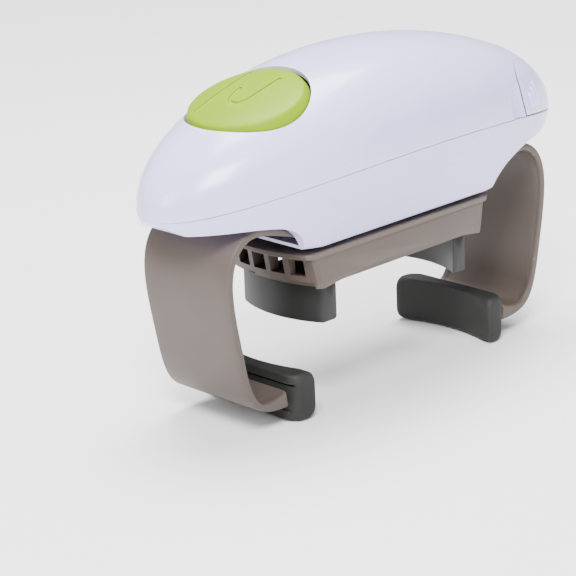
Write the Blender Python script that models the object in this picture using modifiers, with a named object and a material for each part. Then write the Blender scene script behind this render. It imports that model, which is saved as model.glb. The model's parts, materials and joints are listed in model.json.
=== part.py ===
"""Automatic jar opener: a battery driven kitchen appliance, modelled as an assembly.

Frame: X is the long axis of the housing (the button is at -X, the battery door at +X), Y is its width,
Z is up. The origin is below the middle of the housing, in the plane of the undersides of the jar pads.
Everything is first built with the turning axis at X = 0, and moved along X by AXIS_X at the end.
Dimensions below are in millimetres. Every mesh is built in metres through MM.
"""
import math

import bmesh
import bpy
from mathutils import Matrix, Vector

MM = 0.001
GAP = 0.3                      # clearance between neighbouring pieces

# Housing
AXIS_X = -3.3                  # the turning axis, from the middle of the housing
HALF_LENGTH = 106.9
HALF_WIDTH = 39.0
SEAM_END_Z = 83.9
SEAM_ARCH = 11.3
CROWN = 34.5                   # height of the top above the seam
SECTION_POWER = 2.3            # squareness of the upper cross sections
WALL = 2.2
SKIRT_Z = 64.1
SKIRT_HALF_WIDTH = 24.9
SKIRT_DEPTH = 34.0
STATIONS = 28
UNDER_ARCH = [(52.0, 58.0), (52.2, 63.0), (53.3, 67.0), (56.2, 71.2), (60.0, 74.4), (66.0, 77.2),
              (74.0, 78.6), (84.0, 79.0), (116.0, 79.0), (116.0, 58.0)]

# Push button
BUTTON_X = -55.0
BUTTON_Z = 119.3
BUTTON_TILT = math.radians(17.8)
BUTTON_A = 22.5
BUTTON_B = 24.2
BUTTON_SAG = 1.2               # how much lower its rim is at the two sides of the housing

# Battery end
DOOR_ARC_X = 37.7
DOOR_ARC_R = 41.0
CELL_R = 7.25
CELL_LENGTH = 50.0
CELL_Y = 7.8
CELL_Z = 98.2
CELL_X = 24.0

# Arms and jar pads
ARM_WIDTH = 45.3
ARM_THICK = 3.0
ARM_CURVE = [(47.4, 70.6), (69.5, 79.1), (82.0, 78.2), (91.5, 62.7), (85.1, 31.6), (81.1, 8.8),
             (68.4, 5.5), (48.6, 7.2)]
LIP_X = 60.4
LIP_TOP_Z = 13.6
PAD_R = 62.0
PAD_FACE_X = 54.6
PAD_HALF_WIDTH = 25.5
PAD_TOP_Z = 18.3

# Drive, all axes parallel to Z
ARM_MODULE = 1.0
ARM_TEETH = 28
RACK_Z = (71.8, 75.8)
MAIN_TEETH = 48
IDLER_B_X = -28.5
IDLER_A_X = -19.725
IDLER_A_Y = 15.2
MOTOR_X = -12.4
MOTOR_R = 12.0

# Turning carriage and lid jaws
CARRIAGE_TOP_Z = 62.7
CARRIAGE_BOTTOM_Z = 48.5
BASE_TOP_Z = 51.0
JAW_R = 39.2
JAW_OUTER_R = 45.5
JAW_HALF_WIDTH = 21.5
JAW_BOTTOM_Z = 33.0
JAW_TOP_Z = 48.1
JAW_TEETH = 12

COLOURS = {
    "white_gloss_plastic": ((0.80, 0.80, 0.88), 0.28, 0.0),
    "lime_gloss_plastic": ((0.52, 0.75, 0.02), 0.32, 0.0),
    "taupe_matte_plastic": ((0.36, 0.30, 0.27), 0.5, 0.0),
    "grey_soft_rubber": ((0.11, 0.11, 0.105), 0.7, 0.0),
    "dark_grey_plastic": ((0.08, 0.08, 0.078), 0.5, 0.0),
    "white_gear_plastic": ((0.75, 0.74, 0.70), 0.45, 0.0),
    "zinc_plated_steel": ((0.62, 0.62, 0.64), 0.3, 1.0),
    "red_wire_sleeve": ((0.45, 0.05, 0.04), 0.5, 0.0),
    "green_laminate": ((0.03, 0.20, 0.07), 0.5, 0.0),
    "cell_wrap": ((0.08, 0.10, 0.16), 0.35, 0.0),
}


# ---------------------------------------------------------------- scene helpers
def clear_scene():
    for obj in list(bpy.data.objects):
        bpy.data.objects.remove(obj, do_unlink=True)


def make_collection(name):
    coll = bpy.data.collections.new(name)
    bpy.context.scene.collection.children.link(coll)
    return coll


def make_material(slot):
    colour, roughness, metallic = COLOURS[slot]
    material = bpy.data.materials.new(slot)
    material.use_nodes = True
    shader = material.node_tree.nodes["Principled BSDF"]
    shader.inputs["Base Color"].default_value = (*colour, 1.0)
    shader.inputs["Roughness"].default_value = roughness
    shader.inputs["Metallic"].default_value = metallic
    return material


clear_scene()
PARTS = make_collection("jar_opener")
CUTTERS = make_collection("jar_opener_cutters")
MATERIALS = {slot: make_material(slot) for slot in COLOURS}


def place(mesh, name, slot, origin=(0, 0, 0), smooth=35.0):
    """Makes a part from a mesh in world metres, with its origin at the given point in mm."""
    shift = Vector(origin) * MM
    mesh.transform(Matrix.Translation(-shift))
    mesh.name = name
    obj = bpy.data.objects.new(name, mesh)
    obj.location = shift
    PARTS.objects.link(obj)
    mesh.materials.clear()
    mesh.materials.append(MATERIALS[slot])
    mesh.shade_smooth()
    mesh.set_sharp_from_angle(angle=math.radians(smooth))
    return obj


def tool(mesh):
    """Makes a hidden cutter or union tool from a mesh in world metres."""
    obj = bpy.data.objects.new("tool_%03d" % len(CUTTERS.objects), mesh)
    CUTTERS.objects.link(obj)
    obj.hide_render = True
    obj.display_type = "WIRE"
    return obj


def boolean(obj, mesh, operation="DIFFERENCE"):
    modifier = obj.modifiers.new(operation.lower(), "BOOLEAN")
    modifier.operation = operation
    modifier.solver = "EXACT"
    modifier.object = tool(mesh)


def cut(obj, *meshes):
    for mesh in meshes:
        boolean(obj, mesh)


def join(obj, *meshes):
    for mesh in meshes:
        boolean(obj, mesh, "UNION")


def bevel(obj, width, segments=1, angle=40.0):
    modifier = obj.modifiers.new("bevel", "BEVEL")
    modifier.width = width * MM
    modifier.segments = segments
    modifier.limit_method = "ANGLE"
    modifier.angle_limit = math.radians(angle)
    modifier.harden_normals = False


# ---------------------------------------------------------------- mesh helpers
def mesh_from(bm, name="mesh"):
    bmesh.ops.recalc_face_normals(bm, faces=bm.faces)
    if bm.calc_volume(signed=True) < 0.0:
        bmesh.ops.reverse_faces(bm, faces=bm.faces)
    mesh = bpy.data.meshes.new(name)
    bm.to_mesh(mesh)
    bm.free()
    return mesh


def box(x0, x1, y0, y1, z0, z1):
    bm = bmesh.new()
    bmesh.ops.create_cube(bm, size=1.0)
    size = Vector((x1 - x0, y1 - y0, z1 - z0)) * MM
    centre = Vector((x1 + x0, y1 + y0, z1 + z0)) * (MM / 2)
    bmesh.ops.scale(bm, vec=size, verts=bm.verts)
    bmesh.ops.translate(bm, vec=centre, verts=bm.verts)
    return mesh_from(bm)


def rod(x, y, z0, z1, radius, top_radius=None, segments=24, axis="Z"):
    """A cylinder or cone on +Z from z0 to z1. With axis X, its length is along +X from z0 to z1."""
    bm = bmesh.new()
    top = radius if top_radius is None else top_radius
    bmesh.ops.create_cone(bm, cap_ends=True, segments=segments, radius1=radius * MM,
                          radius2=top * MM, depth=(z1 - z0) * MM)
    if axis == "X":
        bmesh.ops.rotate(bm, matrix=Matrix.Rotation(math.pi / 2, 3, "Y"), verts=bm.verts)
        centre = Vector(((z0 + z1) / 2, x, y)) * MM
    else:
        centre = Vector((x, y, (z0 + z1) / 2)) * MM
    bmesh.ops.translate(bm, vec=centre, verts=bm.verts)
    return mesh_from(bm)


def prism(loops, z0, z1, centre=(0, 0)):
    """A flat outline with any holes (loops in mm), as a solid from z0 to z1."""
    curve = bpy.data.curves.new("outline", "CURVE")
    curve.dimensions = "2D"
    curve.fill_mode = "BOTH"
    curve.extrude = (z1 - z0) * MM / 2
    for loop in loops:
        spline = curve.splines.new("POLY")
        spline.points.add(len(loop) - 1)
        for point, (x, y) in zip(spline.points, loop):
            point.co = (x * MM, y * MM, 0.0, 1.0)
        spline.use_cyclic_u = True
    obj = bpy.data.objects.new("outline", curve)
    bpy.context.scene.collection.objects.link(obj)
    evaluated = obj.evaluated_get(bpy.context.evaluated_depsgraph_get())
    mesh = bpy.data.meshes.new_from_object(evaluated)
    bpy.data.objects.remove(obj, do_unlink=True)
    bm = bmesh.new()
    bm.from_mesh(mesh)
    bmesh.ops.remove_doubles(bm, verts=bm.verts, dist=0.00001)
    if len(loops) == 1:
        for side in (1, -1):
            cap = [face for face in bm.faces if face.normal.z * side > 0.99]
            bmesh.ops.dissolve_faces(bm, faces=cap)
    shift = Vector((centre[0], centre[1], (z0 + z1) / 2)) * MM
    bmesh.ops.translate(bm, vec=shift, verts=bm.verts)
    return mesh_from(bm)


def side_prism(loop, y0, y1):
    """An outline in the XZ plane, as a solid from y0 to y1."""
    mesh = prism([loop], -y1, -y0)
    mesh.transform(Matrix.Rotation(math.pi / 2, 4, "X"))
    return mesh


def circle(radius, segments=32, centre=(0.0, 0.0)):
    step = 2 * math.pi / segments
    return [(centre[0] + radius * math.cos(i * step), centre[1] + radius * math.sin(i * step))
            for i in range(segments)]


def rectangle(x0, x1, y0, y1):
    return [(x0, y0), (x1, y0), (x1, y1), (x0, y1)]


def mirrored(mesh, sign):
    """The same mesh, or its mirror image across the YZ plane when sign is -1."""
    if sign > 0:
        return mesh
    bm = bmesh.new()
    bm.from_mesh(mesh)
    bmesh.ops.scale(bm, vec=(-1, 1, 1), verts=bm.verts)
    bmesh.ops.reverse_faces(bm, faces=bm.faces)
    return mesh_from(bm)


def turned_about(mesh):
    """The same mesh turned half a turn about the Z axis."""
    mesh.transform(Matrix.Rotation(math.pi, 4, "Z"))
    return mesh


def loft(rows, close_rows=True):
    """A closed solid through equal rows of points (mm), with its first and last rows as poles."""
    bm = bmesh.new()
    grid = [[bm.verts.new(Vector(p) * MM) for p in row] for row in rows[1:-1]]
    first = bm.verts.new(Vector(rows[0][0]) * MM)
    last = bm.verts.new(Vector(rows[-1][0]) * MM)
    count = len(grid[0])
    for a, b in zip(grid[:-1], grid[1:]):
        for j in range(count):
            k = (j + 1) % count
            bm.faces.new((a[j], a[k], b[k], b[j]))
    for j in range(count):
        k = (j + 1) % count
        bm.faces.new((first, grid[0][k], grid[0][j]))
        bm.faces.new((last, grid[-1][j], grid[-1][k]))
    return mesh_from(bm)


# ---------------------------------------------------------------- housing form
def station(i, inset):
    """The housing's half width, seam height, crown and skirt depth at one station along X."""
    angle = math.pi * i / STATIONS
    along = -math.cos(angle)
    across = max(math.sin(angle), 0.0)
    x = (HALF_LENGTH - inset) * along - AXIS_X
    width = HALF_WIDTH * across * (1 - 0.10 * along)
    seam = SEAM_END_Z + SEAM_ARCH * across ** 2
    crown = CROWN * across ** 0.93 * (1 + 0.025 * along)
    depth = SKIRT_DEPTH * across ** 1.55
    return x, max(width - inset * min(1.0, 2 * across), 0.0), seam, crown, depth


def upper_rows(inset, drop, segments=16):
    rows = []
    for i in range(STATIONS + 1):
        x, width, seam, crown, _ = station(i, inset)
        crown = max(crown - inset, 0.0)
        row = []
        low = drop * min(1.0, 3 * math.sin(math.pi * i / STATIONS))
        for j in range(segments + 1):
            angle = math.pi * j / segments
            c, s = math.cos(angle), math.sin(angle)
            y = -width * math.copysign(abs(c) ** (2 / SECTION_POWER), c)
            edge = low if j in (0, segments) else 0.0
            row.append((x, y, seam - edge + crown * abs(s) ** (2 / SECTION_POWER)))
        rows.append(row)
    return rows


def lower_rows(inset, rise, levels=5):
    rows = []
    for i in range(STATIONS + 1):
        x, width, seam, _, depth = station(i, inset)
        bottom = max(SKIRT_Z, seam - depth) + (inset if depth > 2 * inset else 0.0)
        full = width + inset
        foot = max(min(SKIRT_HALF_WIDTH, 0.82 * full) - inset, 0.0)
        high = rise * min(1.0, 3 * math.sin(math.pi * i / STATIONS))
        high = high if rise else -min(GAP, 0.1 * (seam - bottom))
        left = [(x, width, seam + high)]
        for j in range(1, levels + 1):
            v = j / levels
            left.append((x, width + (foot - width) * v ** 1.3, seam + (bottom - seam) * v))
        right = [(x, -y, z) for x, y, z in reversed(left)]
        rows.append(left + right)
    return rows


def under_arch(sign, inset=0.0):
    """The cut that leaves the housing's overhanging end clear above an arm."""
    profile = []
    for x, z in UNDER_ARCH:
        lift = inset if z > 60.0 else 0.0
        lean = inset if x < 70.0 else 0.0
        profile.append((sign * (x - lean), z + lift))
    return side_prism(profile, -60.0, 60.0)


def button_frame():
    """The push button's own frame: its Z is the direction it is pressed against."""
    return (Matrix.Translation(Vector((BUTTON_X, 0, BUTTON_Z)) * MM)
            @ Matrix.Rotation(-BUTTON_TILT, 4, "Y"))


def oval(grow, segments=40):
    step = 2 * math.pi / segments
    return [((BUTTON_A + grow) * math.cos(i * step), (BUTTON_B + grow) * math.sin(i * step))
            for i in range(segments)]


def in_button_frame(mesh):
    mesh.transform(button_frame())
    return mesh


def door_cap(inset, z0=60.0, z1=140.0):
    """The part of space beyond the battery door's curved seam."""
    radius = DOOR_ARC_R + inset
    arc = []
    for i in range(17):
        angle = math.radians(-72.0 + 144.0 * i / 16)
        arc.append((DOOR_ARC_X + radius * math.cos(angle), radius * math.sin(angle)))
    return prism([arc + [(arc[-1][0], 60.0), (130.0, 60.0), (130.0, -60.0), (arc[0][0], -60.0)]],
                 z0, z1)


def upper_housing():
    obj = place(loft(upper_rows(0.0, 0.0)), "upper_housing", "white_gloss_plastic")
    cut(obj, loft(upper_rows(WALL, 6.0, 12)))
    cut(obj, in_button_frame(prism([oval(0.5)], -25.0, 25.0)))
    cut(obj, door_cap(0.0))


def battery_door():
    outer = upper_rows(0.0, 0.0)
    lifted = [[(x, y, z + 0.35) for x, y, z in row] for row in outer]
    obj = place(loft(lifted), "battery_door", "white_gloss_plastic")
    cut(obj, loft(upper_rows(WALL, 6.0, 12)))
    half = DOOR_ARC_R + 0.35
    disc = [(DOOR_ARC_X + half * math.cos(math.pi * i / 24), half * math.sin(math.pi * i / 24))
            for i in range(-12, 13)]
    cut(obj, prism([disc + [(-130.0, half), (-130.0, -half)]], 60.0, 140.0))
    cut(obj, box(-130.0, 66.0, -60.0, 60.0, 60.0, 140.0))


def lower_housing():
    obj = place(loft(lower_rows(0.0, 0.0)), "lower_housing", "white_gloss_plastic")
    cut(obj, under_arch(1), under_arch(-1))
    cavity = tool(loft(lower_rows(WALL, 6.0, 4)))
    for sign in (1, -1):
        modifier = cavity.modifiers.new("difference", "BOOLEAN")
        modifier.operation = "DIFFERENCE"
        modifier.solver = "EXACT"
        modifier.object = tool(under_arch(sign, WALL))
    hollow = obj.modifiers.new("difference", "BOOLEAN")
    hollow.operation = "DIFFERENCE"
    hollow.solver = "EXACT"
    hollow.object = cavity
    cut(obj, box(49.4, 82.0, -23.05, 23.05, 67.0, 77.9))
    cut(obj, box(-82.0, -49.4, -23.05, 23.05, 67.0, 77.9))
    join(obj, rod(0, 0, 65.0, 78.6, 10.5, segments=36))
    for x in (-19.5, 19.5):
        for y in (-21.0, 21.0):
            join(obj, rod(x, y, 65.2, 78.7, 2.1, segments=12))
    cut(obj, rod(0, 0, 60.0, 90.0, 8.3, segments=36))
    for x in (-92.0, 92.0):
        cut(obj, rod(x, 0, 70.0, 90.0, 1.7, segments=16))
        cut(obj, rod(x, 0, 70.0, 79.9, 3.2, segments=16))


def housing_screws():
    """Two self tapping screws under the overhanging ends hold the shells together."""
    for name, x in (("rear_housing_screw", -92.0), ("front_housing_screw", 92.0)):
        obj = place(rod(x, 0, 78.6, 79.6, 2.8, segments=16), name, "zinc_plated_steel", (x, 0, 79))
        join(obj, rod(x, 0, 79.2, 88.0, 1.3, 1.0, segments=12))
        cut(obj, box(x - 2.0, x + 2.0, -0.3, 0.3, 78.0, 79.0), box(x - 0.3, x + 0.3, -2.0, 2.0, 78.0, 79.0))


def push_button():
    bm = bmesh.new()
    loops = [[bm.verts.new(Vector((x, y, -8.0)) * MM) for x, y in oval(0.0)]]
    for ring, lift in ((1.0, -1.6), (0.985, -0.6), (0.955, 0.1), (0.80, 0.75), (0.5, 1.25), (0.2, 1.45)):
        loops.append([bm.verts.new(Vector((x * ring, y * ring,
                                           lift - BUTTON_SAG * (y * ring / BUTTON_B) ** 2)) * MM)
                      for x, y in oval(0.0)])
    for a, b in zip(loops[:-1], loops[1:]):
        for j in range(len(a)):
            k = (j + 1) % len(a)
            bm.faces.new((a[j], a[k], b[k], b[j]))
    bm.faces.new(loops[-1])
    bm.faces.new(list(reversed(loops[0])))
    origin = (BUTTON_X, 0, BUTTON_Z)
    obj = place(in_button_frame(mesh_from(bm)), "push_button", "lime_gloss_plastic", origin)
    cut(obj, in_button_frame(prism([oval(-2.0, 32)], -9.5, -2.6)))
    join(obj, in_button_frame(rod(0, 0, -10.5, -2.0, 3.0, segments=16)))


def button_switch():
    """The micro switch below the button's stem, its carrier board and the return spring."""
    frame = button_frame()
    board = in_button_frame(prism([rectangle(-17.0, 13.0, -11.0, 11.0)], -20.6, -19.0))
    origin = tuple(frame @ Vector((0, 0, -19.8 * MM)) / MM)
    place(board, "circuit_board", "green_laminate", origin)
    body = in_button_frame(prism([rectangle(-5.0, 5.0, -3.2, 3.2)], -18.7, -14.6))
    switch = place(body, "micro_switch", "dark_grey_plastic", origin)
    join(switch, in_button_frame(rod(0, 0, -15.0, -13.5, 1.4, segments=12)))
    points = []
    turns = 3.0
    count = 30
    for i in range(count + 1):
        angle = 2 * math.pi * turns * i / count
        height = -18.3 + (-3.4 + 18.3) * i / count
        points.append((8.6 * math.cos(angle), 8.6 * math.sin(angle), height))
    wire("button_spring", points, 0.45, "zinc_plated_steel", button_frame())


def wire(name, points, radius, slot, frame=None):
    """A round wire along points given in mm."""
    curve = bpy.data.curves.new(name, "CURVE")
    curve.dimensions = "3D"
    curve.bevel_depth = radius * MM
    curve.bevel_resolution = 1
    curve.use_fill_caps = True
    spline = curve.splines.new("POLY")
    spline.points.add(len(points) - 1)
    for point, co in zip(spline.points, points):
        point.co = (co[0] * MM, co[1] * MM, co[2] * MM, 1.0)
    obj = bpy.data.objects.new(name + "_curve", curve)
    bpy.context.scene.collection.objects.link(obj)
    evaluated = obj.evaluated_get(bpy.context.evaluated_depsgraph_get())
    mesh = bpy.data.meshes.new_from_object(evaluated)
    bpy.data.objects.remove(obj, do_unlink=True)
    bm = bmesh.new()
    bm.from_mesh(mesh)
    bmesh.ops.remove_doubles(bm, verts=bm.verts, dist=0.000005)
    mesh = mesh_from(bm)
    if frame is not None:
        mesh.transform(frame)
    origin = tuple(mesh.vertices[0].co / MM)
    return place(mesh, name, slot, origin)


# ---------------------------------------------------------------- battery end
def battery_bay():
    tray = place(box(20.8, 74.0, -17.3, 17.3, 88.6, 98.0), "battery_tray", "dark_grey_plastic",
                 (47, 0, 90))
    cut(tray, box(22.3, 80.0, -15.8, 15.8, 90.2, 110.0))
    for name, y in (("left_battery_cell", CELL_Y), ("right_battery_cell", -CELL_Y)):
        nub_low = y > 0
        x0 = CELL_X if nub_low else CELL_X - 0.2
        body = rod(y, CELL_Z, x0 + (1.2 if nub_low else 0.0), x0 + CELL_LENGTH - 1.2, CELL_R,
                   segments=24, axis="X")
        cell = place(body, name, "cell_wrap", (x0, y, CELL_Z))
        if nub_low:
            join(cell, rod(y, CELL_Z, x0, x0 + 2.0, 2.6, segments=12, axis="X"))
        else:
            join(cell, rod(y, CELL_Z, x0 + CELL_LENGTH - 2.0, x0 + CELL_LENGTH, 2.6, segments=12,
                           axis="X"))
    place(box(22.7, 23.2, 3.6, 12.0, 93.0, 104.0), "positive_contact", "zinc_plated_steel",
          (23, CELL_Y, CELL_Z))
    place(box(22.7, 23.2, -12.0, -3.6, 93.0, 104.0), "negative_contact", "zinc_plated_steel",
          (23, -CELL_Y, CELL_Z))
    place(box(74.9, 75.5, -12.6, 12.6, 94.0, 102.4), "door_contact", "zinc_plated_steel",
          (75.2, 0, CELL_Z))


# ---------------------------------------------------------------- gears
def gear_outline(teeth, module, phase=0.0):
    pitch = module * teeth / 2
    tip, root = pitch + 0.85 * module, pitch - 1.1 * module
    tip_half = 0.44 * module / tip
    root_half = min(1.05 * module / root, math.pi / teeth - 0.46 * module / root)
    points = []
    for i in range(teeth):
        centre = phase + 2 * math.pi * i / teeth
        for radius, offset in ((root, -root_half), (tip, -tip_half), (tip, tip_half), (root, root_half)):
            points.append((radius * math.cos(centre + offset), radius * math.sin(centre + offset)))
    return points


def rack_outline(x0, x1, module, pitch_y, back_y, first):
    """A rack whose teeth point to -Y, with tooth centres at first plus whole pitches."""
    step = math.pi * module
    tip, root = pitch_y - 0.85 * module, pitch_y + 1.1 * module
    points = [(x1, back_y), (x0, back_y), (x0, root)]
    centre = first + step * math.ceil((x0 + 1.2 * module - first) / step)
    while centre < x1 - 1.2 * module:
        points += [(centre - 1.05 * module, root), (centre - 0.44 * module, tip),
                   (centre + 0.44 * module, tip), (centre + 1.05 * module, root)]
        centre += step
        points.append((centre - step / 2, root + 0.2 * module))
    points[-1] = (x1, root + 0.1 * module)
    return points


def mesh_phase(teeth, direction):
    """Phase of a gear whose gap faces the given direction."""
    return direction + math.pi / teeth


def gear_train():
    b, a, m = (IDLER_B_X, 0.0), (IDLER_A_X, IDLER_A_Y), (MOTOR_X, 0.0)
    towards_a = math.atan2(a[1] - b[1], a[0] - b[0])
    towards_m = math.atan2(m[1] - a[1], m[0] - a[0])
    main = prism([gear_outline(MAIN_TEETH, 1.0, math.pi), circle(3.8, 20)], 81.3, 85.2)
    place(main, "main_gear", "white_gear_plastic", (0, 0, 83))
    pinion_b = prism([gear_outline(9, 1.0, mesh_phase(9, 0.0)), circle(1.8, 12)], 81.4, 86.9, b)
    gear_b = place(pinion_b, "second_idler_gear", "white_gear_plastic", (*b, 84))
    join(gear_b, prism([gear_outline(30, 0.9, towards_a), circle(1.8, 12)], 86.6, 89.4, b))
    pinion_a = prism([gear_outline(9, 0.9, mesh_phase(9, towards_a + math.pi)), circle(1.8, 12)],
                     86.7, 90.7, a)
    gear_a = place(pinion_a, "first_idler_gear", "white_gear_plastic", (*a, 90))
    join(gear_a, prism([gear_outline(36, 0.75, towards_m), circle(1.8, 12)], 90.4, 93.0, a))
    phase = mesh_phase(9, towards_m + math.pi)
    place(prism([gear_outline(9, 0.75, phase), circle(1.25, 12)], 90.2, 93.2, m), "motor_pinion",
          "zinc_plated_steel", (*m, 91))
    for name, (x, y), low in (("second_idler_pin", b, 79.2), ("first_idler_pin", a, 85.7)):
        place(rod(x, y, low, 95.2, 1.45, segments=12), name, "zinc_plated_steel", (x, y, 90))


def gear_frames():
    """A lower deck on the housing's posts, and an upper deck whose legs stand on it."""
    rounded = [(-47.0, -14.0), (-38.0, -21.0), (-14.0, -25.0), (14.0, -25.0), (31.0, -20.0),
               (34.0, -10.0), (34.0, 10.0), (31.0, 20.0), (14.0, 25.0), (-14.0, 25.0),
               (-38.0, 21.0), (-47.0, 14.0)]
    holes = [circle(13.6, 32), circle(1.75, 12, (IDLER_B_X, 0.0))]
    lower = prism([rounded] + holes, 79.0, 80.8)
    place(lower, "lower_gear_deck", "dark_grey_plastic", (0, 0, 80))
    plate = [(-46.5, -11.0), (-40.0, -14.0), (-6.0, -22.8), (18.0, -22.8), (20.0, -20.0),
             (20.0, 20.0), (18.0, 22.8), (-6.0, 26.0), (-30.0, 24.0), (-46.5, 11.0)]
    holes = [circle(3.2, 16, (MOTOR_X, 0.0))]
    for x, y in ((IDLER_B_X, 0.0), (IDLER_A_X, IDLER_A_Y)):
        holes.append(circle(1.75, 12, (x, y)))
    upper = place(prism([plate] + holes, 93.9, 95.4), "upper_gear_deck", "dark_grey_plastic",
                  (0, 0, 94))
    for x, y in ((-44.8, -7.0), (-44.8, 7.0), (17.6, -20.3), (17.6, 20.3)):
        join(upper, rod(x, y, 81.1, 94.2, 1.7, segments=12))


def motor():
    can = prism([circle(MOTOR_R, 32), circle(2.2, 32)], 95.7, 97.0, (MOTOR_X, 0.0))
    obj = place(can, "motor_can", "zinc_plated_steel", (MOTOR_X, 0, 108))
    join(obj, prism([circle(MOTOR_R, 32), circle(MOTOR_R - 1.0, 32)], 96.5, 118.5, (MOTOR_X, 0.0)))
    place(prism([circle(MOTOR_R, 32)], 118.8, 121.3, (MOTOR_X, 0.0)), "motor_end_cap",
          "dark_grey_plastic", (MOTOR_X, 0, 120))
    rotor = place(rod(MOTOR_X, 0, 98.5, 116.5, 9.5, segments=24), "motor_rotor",
                  "zinc_plated_steel", (MOTOR_X, 0, 108))
    join(rotor, rod(MOTOR_X, 0, 90.0, 118.4, 1.0, segments=12))


def spindle():
    """The jaw drive spindle with its pinion, slip clutch plate, clutch spring and nut."""
    origin = (0, 0, 70)
    place(rod(0, 0, 51.6, 92.4, 3.4, segments=20), "jaw_spindle", "zinc_plated_steel", origin)
    phase = math.pi / 2
    place(prism([gear_outline(JAW_TEETH, 1.0, phase), circle(3.75, 20)], 53.5, 57.5),
          "jaw_pinion", "white_gear_plastic", origin)
    place(prism([circle(10.0, 28), circle(3.75, 20)], 85.5, 86.9), "clutch_plate",
          "zinc_plated_steel", origin)
    place(prism([circle(8.0, 24), circle(3.75, 20)], 87.2, 88.2), "clutch_spring_washer",
          "zinc_plated_steel", origin)
    place(prism([circle(5.8, 6), circle(3.75, 20)], 88.5, 91.0), "spindle_nut",
          "zinc_plated_steel", origin)


# ---------------------------------------------------------------- arms
def bspline(control, count):
    """Points on a clamped uniform cubic B-spline."""
    degree = 3
    n = len(control)
    inner = n - degree
    knots = [0.0] * degree + [i / inner for i in range(inner + 1)] + [1.0] * degree
    points = []
    for s in range(count + 1):
        u = min(s / count, 1.0 - 1e-9)
        k = max(i for i in range(degree, n) if knots[i] <= u)
        d = [Vector(control[j + k - degree]) for j in range(degree + 1)]
        for r in range(1, degree + 1):
            for j in range(degree, r - 1, -1):
                low = knots[j + k - degree]
                high = knots[j + 1 + k - r]
                t = (u - low) / (high - low)
                d[j] = d[j - 1].lerp(d[j], t)
        points.append((d[degree].x, d[degree].y))
    return points


def arm_profile():
    """The outline of an arm's band in the XZ plane, for the arm at +X."""
    outer = [p for p in bspline(ARM_CURVE, 34) if p[0] > LIP_X + 1.5 or p[1] > 40.0]
    outer.append((LIP_X, 6.9))
    inner = []
    for i, point in enumerate(outer):
        before = Vector(outer[max(i - 1, 0)])
        after = Vector(outer[min(i + 1, len(outer) - 1)])
        along = (after - before).normalized()
        thick = ARM_THICK
        if point[1] < 20.0:
            blend = min(max((76.0 - point[0]) / (76.0 - LIP_X), 0.0), 1.0)
            thick = ARM_THICK + (LIP_TOP_Z - 6.9 - ARM_THICK) * blend ** 1.3
        inner.append((point[0] + along.y * thick, point[1] - along.x * thick))
    inner[-1] = (LIP_X, LIP_TOP_Z)
    return outer + list(reversed(inner))


def arms():
    """Each arm is a C shaped band with a rack on its inner end and a rubber jar pad on its lip."""
    half = ARM_WIDTH / 2
    pitch = ARM_MODULE * ARM_TEETH / 2
    rack = rack_outline(-5.0, 49.4, ARM_MODULE, pitch, 18.4, 1.5 * math.pi * ARM_MODULE)
    for side, sign in (("left", -1), ("right", 1)):
        origin = (sign * 50.0, 0, 70)
        band = side_prism([(x, z) for x, z in arm_profile()], -half, half)
        arm = place(mirrored(band, sign), side + "_arm", "taupe_matte_plastic", origin)
        bevel(arm, 0.5)
        bar = prism([rack], *RACK_Z)
        if sign > 0:
            bar = mirrored(turned_about(bar), -1)
        else:
            bar = mirrored(bar, -1)
        place(bar, side + "_arm_rack", "taupe_matte_plastic", origin)
        pad = place(mirrored(jar_pad(), sign), side + "_jar_pad", "grey_soft_rubber", origin)
        bevel(pad, 0.8)
        cut(arm, mirrored(rod(0, 10.2, 50.0, 66.0, 1.6, segments=12, axis="X"), sign))
        cut(pad, mirrored(rod(0, 10.2, 56.5, 62.0, 1.6, segments=12, axis="X"), sign))
        place(mirrored(rod(0, 10.2, 56.9, 65.5, 1.3, segments=12, axis="X"), sign),
              side + "_pad_pin", "zinc_plated_steel", origin)


def jar_pad():
    back = LIP_X - GAP
    reach = math.asin(PAD_HALF_WIDTH / PAD_R)
    arc = []
    for i in range(13):
        angle = -reach + 2 * reach * i / 12
        arc.append((PAD_FACE_X - PAD_R + PAD_R * math.cos(angle), PAD_R * math.sin(angle)))
    loop = list(reversed(arc)) + [(back - 4.0, -PAD_HALF_WIDTH), (back, -PAD_HALF_WIDTH + 4.0),
                                  (back, PAD_HALF_WIDTH - 4.0), (back - 4.0, PAD_HALF_WIDTH)]
    return prism([loop], 0.0, PAD_TOP_Z)


def arm_pinion():
    ring = prism([gear_outline(ARM_TEETH, ARM_MODULE, math.pi / 2), circle(10.85, 32)], *RACK_Z)
    place(ring, "arm_pinion", "white_gear_plastic", (0, 0, 76))
    place(prism([circle(13.2, 32), circle(10.85, 32)], 76.1, 80.9), "arm_clutch_ring",
          "grey_soft_rubber", (0, 0, 80))


# ---------------------------------------------------------------- carriage and lid jaws
def bowed(half_x, half_y, radius, segments=8):
    """A rectangle whose two ends bow outwards along a circle."""
    centre = half_x - radius
    reach = math.asin(half_y / radius)
    points = []
    for sign in (1, -1):
        for i in range(segments + 1):
            angle = -reach + 2 * reach * i / segments
            points.append((sign * (centre + radius * math.cos(angle)), sign * radius * math.sin(angle)))
    return points


def section_loft(sections):
    """A closed solid through equal outlines stacked in Z, with flat ends."""
    bm = bmesh.new()
    loops = [[bm.verts.new(Vector((x, y, z)) * MM) for x, y in loop] for z, loop in sections]
    for a, b in zip(loops[:-1], loops[1:]):
        for j in range(len(a)):
            k = (j + 1) % len(a)
            bm.faces.new((a[j], a[k], b[k], b[j]))
    bm.faces.new(loops[-1])
    bm.faces.new(list(reversed(loops[0])))
    return mesh_from(bm)


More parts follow.
